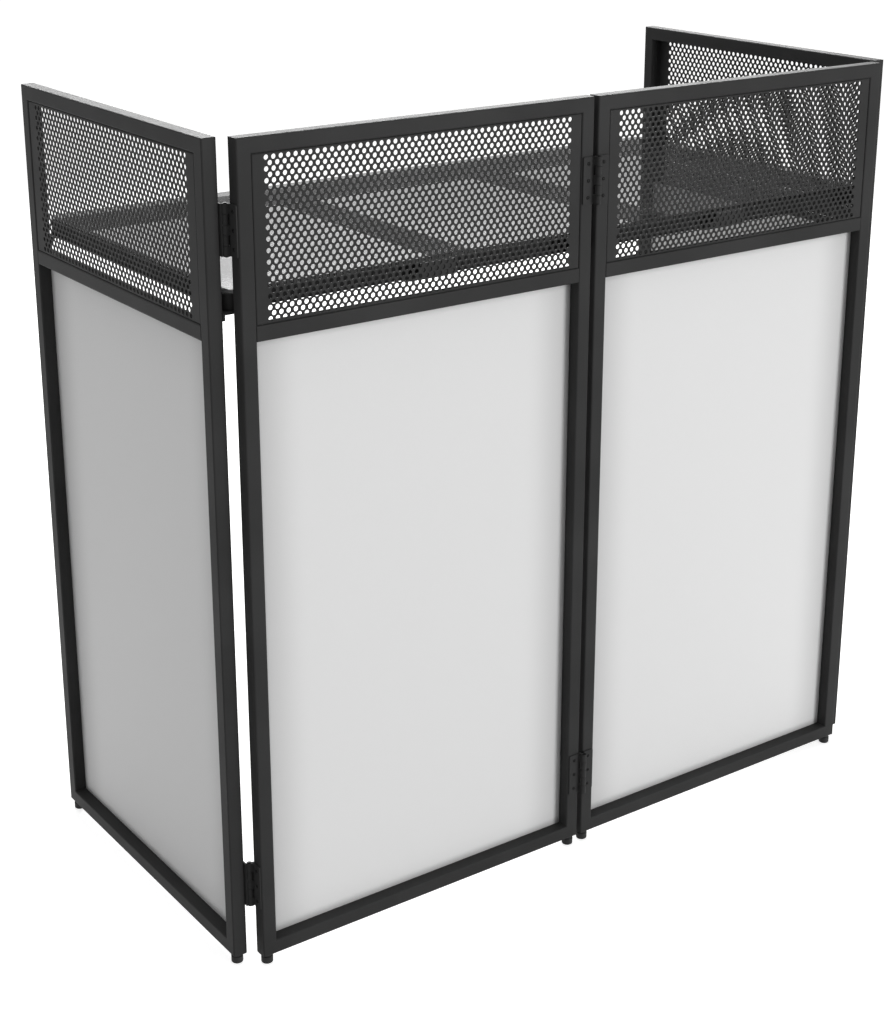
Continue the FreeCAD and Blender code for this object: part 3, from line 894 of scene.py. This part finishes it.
def solid_boxes(node):
    """Low and high corners of each separate solid in a node, found by walking along its edges."""
    shape = bmesh.new()
    shape.from_mesh(nodes[node].data)
    bmesh.ops.remove_doubles(shape, verts=shape.verts, dist=WELD)
    left = set(shape.verts)
    found = []
    while left:
        todo = [left.pop()]
        group = []
        while todo:
            vert = todo.pop()
            group.append(vert.co.copy())
            for edge in vert.link_edges:
                other = edge.other_vert(vert)
                if other in left:
                    left.remove(other)
                    todo.append(other)
        low = Vector([min(p[axis] for p in group) for axis in range(3)])
        high = Vector([max(p[axis] for p in group) for axis in range(3)])
        found.append((low, high))
    shape.free()
    return found


def set_out(name, master, points, finish):
    """Copies of a master piece at (place, heading) points, as one plain mesh."""
    mesh = bpy.data.meshes.new(name)
    mesh.from_pydata([place for place, heading in points], [], [])
    attribute = mesh.attributes.new("heading", "FLOAT_VECTOR", "POINT")
    for index, (place, heading) in enumerate(points):
        attribute.data[index].vector = heading
    return run_tree(set_out_copies, name, mesh, {"Piece": master, "Finish": finish})


print("solid screws", sum(len(solid_boxes(panel + "_hinge_screws")) for panel in PANELS))

# %% [markdown]
# A hinge screw shows only its domed head with a cross slot. The head is a turned outline, and the slot
# is two crossed bars cut out of it, as the punch does on a real one.

# %% Screws
HEAD_RADIUS = 2.6 * MM
HEAD_HEIGHT = 1.0 * MM
SLOT_WIDTH = 0.7 * MM
SLOT_LENGTH = 3.0 * MM
SLOT_DEPTH = 0.6 * MM
RIM_SHARE = 0.25
DOME_DEGREES = (35, 55, 72)
SCREW_SIDES = 20


def lathe(name, outline, steps):
    """Turns an outline of (radius, height) points about Z into a closed mesh."""
    shape = bmesh.new()
    rings = []
    for radius, height in outline:
        if radius == 0:
            rings.append([shape.verts.new((0, 0, height))])
            continue
        turns = [2 * math.pi * step / steps for step in range(steps)]
        rings.append([shape.verts.new((radius * math.cos(t), radius * math.sin(t), height)) for t in turns])
    for ring, after in zip(rings, rings[1:]):
        for step in range(steps):
            following = (step + 1) % steps
            corners = [ring[step % len(ring)], ring[following % len(ring)]]
            corners += [after[following % len(after)], after[step % len(after)]]
            shape.faces.new(list(dict.fromkeys(corners)))
    bmesh.ops.recalc_face_normals(shape, faces=shape.faces)
    return as_mesh(shape, name)


def cross_bars():
    """Two crossed bars, standing where the slot is cut."""
    shape = bmesh.new()
    for size in ((SLOT_LENGTH, SLOT_WIDTH), (SLOT_WIDTH, SLOT_LENGTH)):
        stretch = Matrix.Diagonal((size[0], size[1], 2 * SLOT_DEPTH, 1))
        bmesh.ops.create_cube(shape, size=1, matrix=Matrix.Translation((0, 0, HEAD_HEIGHT)) @ stretch)
    return shown("cross_bars", as_mesh(shape, "cross_bars"))


def screw_head():
    rim = RIM_SHARE * HEAD_HEIGHT
    dome = [(0, 0), (HEAD_RADIUS, 0), (HEAD_RADIUS, rim)]
    for degrees in DOME_DEGREES:
        turn = math.radians(degrees)
        dome.append((HEAD_RADIUS * math.cos(turn), rim + (HEAD_HEIGHT - rim) * math.sin(turn)))
    dome.append((0, HEAD_HEIGHT))
    head = shown("screw_master", lathe("screw_master", dome, SCREW_SIDES))
    cutter = cross_bars()
    cut = head.modifiers.new("slot", "BOOLEAN")
    cut.operation = "DIFFERENCE"
    cut.solver = "EXACT"
    cut.use_self = True
    cut.object = cutter
    mesh = plain_mesh(head, "screw_master")
    bpy.data.objects.remove(cutter)
    return shown("screw_master", mesh)


screw = screw_head()
print("screw faces", len(screw.data.polygons))

# %% Set the screws on their leaves
PIN_BODIES = {
    "fold_hinge_pins": "front_left",
    "left_hinge_pins": "front_left",
    "right_hinge_pins": "front_right",
}
HINGE_MIDDLES = [place for pins in PIN_BODIES for place in pin_places(pins)]


def screw_points(node):
    """Where each screw's head meets its leaf, and which way the head faces."""
    points = []
    for low, high in solid_boxes(node):
        size = high - low
        middle = (low + high) / 2
        axis = Vector((1, 0, 0)) if size.x > size.y else Vector((0, 1, 0))
        pin = min(HINGE_MIDDLES, key=lambda place: (middle - place).length)
        heading = axis if (pin - middle).dot(axis) > 0 else -axis
        end = middle + heading * abs(size.dot(axis)) / 2
        points.append((end - heading * HEAD_HEIGHT, heading))
    return points


for panel in PANELS:
    node = panel + "_hinge_screws"
    points = screw_points(node)
    mesh = set_out(panel + "_screws", screw, points, screw_steel)
    smooth(mesh)
    piece(panel + "_screws", mesh, panel, [node])
    print(panel, "screws", len(points), "faces", len(mesh.polygons))
bpy.data.objects.remove(screw)

# %% [markdown]
# Pins show their heads above and below each hinge. They are short turned pieces with a slight dome.

# %% Pins
PIN_RADIUS = 1.6 * MM
PIN_HEAD_RADIUS = 2.6 * MM
PIN_SIDES = 24
DOME_SHARES = ((0.0, 1.0), (0.6, 0.92), (1.0, 0.55), (1.0, 0.0))


def pin_outline():
    half = LEAF_LENGTH / 2
    head = [(out * PIN_HEAD_RADIUS, half + up * PIN_HEAD) for out, up in DOME_SHARES]
    head.append((PIN_RADIUS, half))
    return head + [(radius, -height) for radius, height in reversed(head)]


pin = shown("pin_master", lathe("pin_master", pin_outline(), PIN_SIDES))
for node, body in PIN_BODIES.items():
    points = [(place, UP) for place in pin_places(node)]
    mesh = set_out(node + "_turned", pin, points, screw_steel)
    smooth(mesh)
    piece(node + "_turned", mesh, body, [node])
    print(node, "pins", len(points))
bpy.data.objects.remove(pin)

# %% [markdown]
# Each foot is a rubber pad moulded on a stud. The pad has a rounded lower edge, a fine groove and a
# narrower collar under the tube.

# %% Feet
FOOT_HEIGHT = 14 * MM
FOOT_RADIUS = 8 * MM
FOOT_EDGE = 2 * MM
COLLAR_RADIUS = 7.2 * MM
COLLAR_HEIGHT = 4 * MM
GROOVE = 0.5 * MM
STUD_RADIUS = 3 * MM
STUD_LENGTH = 10 * MM
EDGE_DEGREES = range(0, 91, 15)
FOOT_SIDES = 40


def foot_outline():
    """From the middle of the sole, out and up to the end of the stud."""
    outline = [(0, 0)]
    for degrees in EDGE_DEGREES:
        turn = math.radians(degrees)
        radius = FOOT_RADIUS - FOOT_EDGE + FOOT_EDGE * math.sin(turn)
        outline.append((radius, FOOT_EDGE - FOOT_EDGE * math.cos(turn)))
    shoulder = FOOT_HEIGHT - COLLAR_HEIGHT
    outline += [(FOOT_RADIUS, shoulder - GROOVE), (FOOT_RADIUS - GROOVE, shoulder)]
    outline += [(COLLAR_RADIUS - GROOVE, shoulder), (COLLAR_RADIUS - GROOVE, shoulder + GROOVE)]
    outline += [(COLLAR_RADIUS, shoulder + 2 * GROOVE), (COLLAR_RADIUS, FOOT_HEIGHT)]
    stud_end = FOOT_HEIGHT + STUD_LENGTH
    return outline + [(STUD_RADIUS, FOOT_HEIGHT), (STUD_RADIUS, stud_end), (0, stud_end)]


def under_middle(low, high):
    """The middle of the underside of a box."""
    return Vector(((low.x + high.x) / 2, (low.y + high.y) / 2, low.z))


foot = shown("foot_master", lathe("foot_master", foot_outline(), FOOT_SIDES))
for panel in PANELS:
    node = panel + "_feet"
    points = [(under_middle(low, high), UP) for low, high in solid_boxes(node)]
    mesh = set_out(panel + "_rubber_feet", foot, points, rubber)
    smooth(mesh)
    piece(panel + "_rubber_feet", mesh, panel, [node])
    print(panel, "feet", len(points))
bpy.data.objects.remove(foot)
